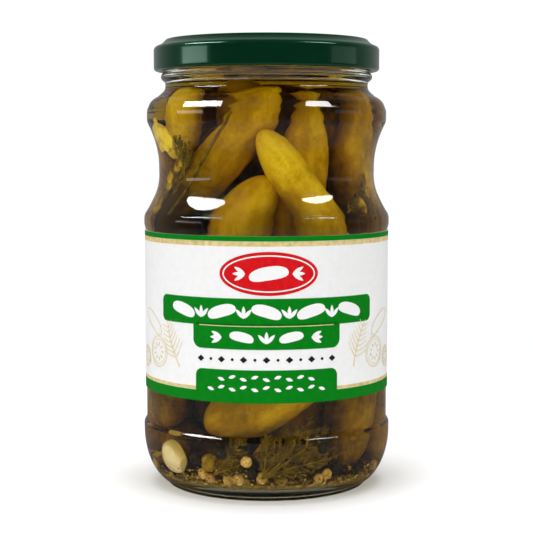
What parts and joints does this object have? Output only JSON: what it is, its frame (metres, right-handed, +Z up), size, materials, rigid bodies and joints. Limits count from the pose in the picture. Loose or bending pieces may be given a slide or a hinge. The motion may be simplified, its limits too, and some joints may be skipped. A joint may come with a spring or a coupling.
{
  "type": "pickle jar",
  "caption": "Shut round glass jar with a drawn-in waist, twist-off metal lid and paper label, filled with small pickled cucumbers, dill, garlic and spices.",
  "frame": {"origin": "centre of the base, on the plane that the jar stands on", "axes": "+Z up along the jar's axis; the front of the label faces -Y"},
  "size_m": [0.0898, 0.0898, 0.1605],
  "materials": {
    "glass": "clear, smooth",
    "lid_lacquer": "glossy dark green lacquer",
    "label_paper": "varnished white paper with green, gold and red print",
    "pickle_skin": "wet olive yellow skin with small warts",
    "spice_mix": "brown and black seeds on sediment",
    "garlic_skin": "smooth cream",
    "dill_leaf": "wet feathery leaf"
  },
  "bodies": {
    "root": {"jar": "glass", "lid": "lid_lacquer", "label": "label_paper", "pickles": "pickle_skin", "spices": "spice_mix", "garlic": "garlic_skin", "dill_left": "dill_leaf", "dill_right": "dill_leaf"}
  },
  "joints": []
}
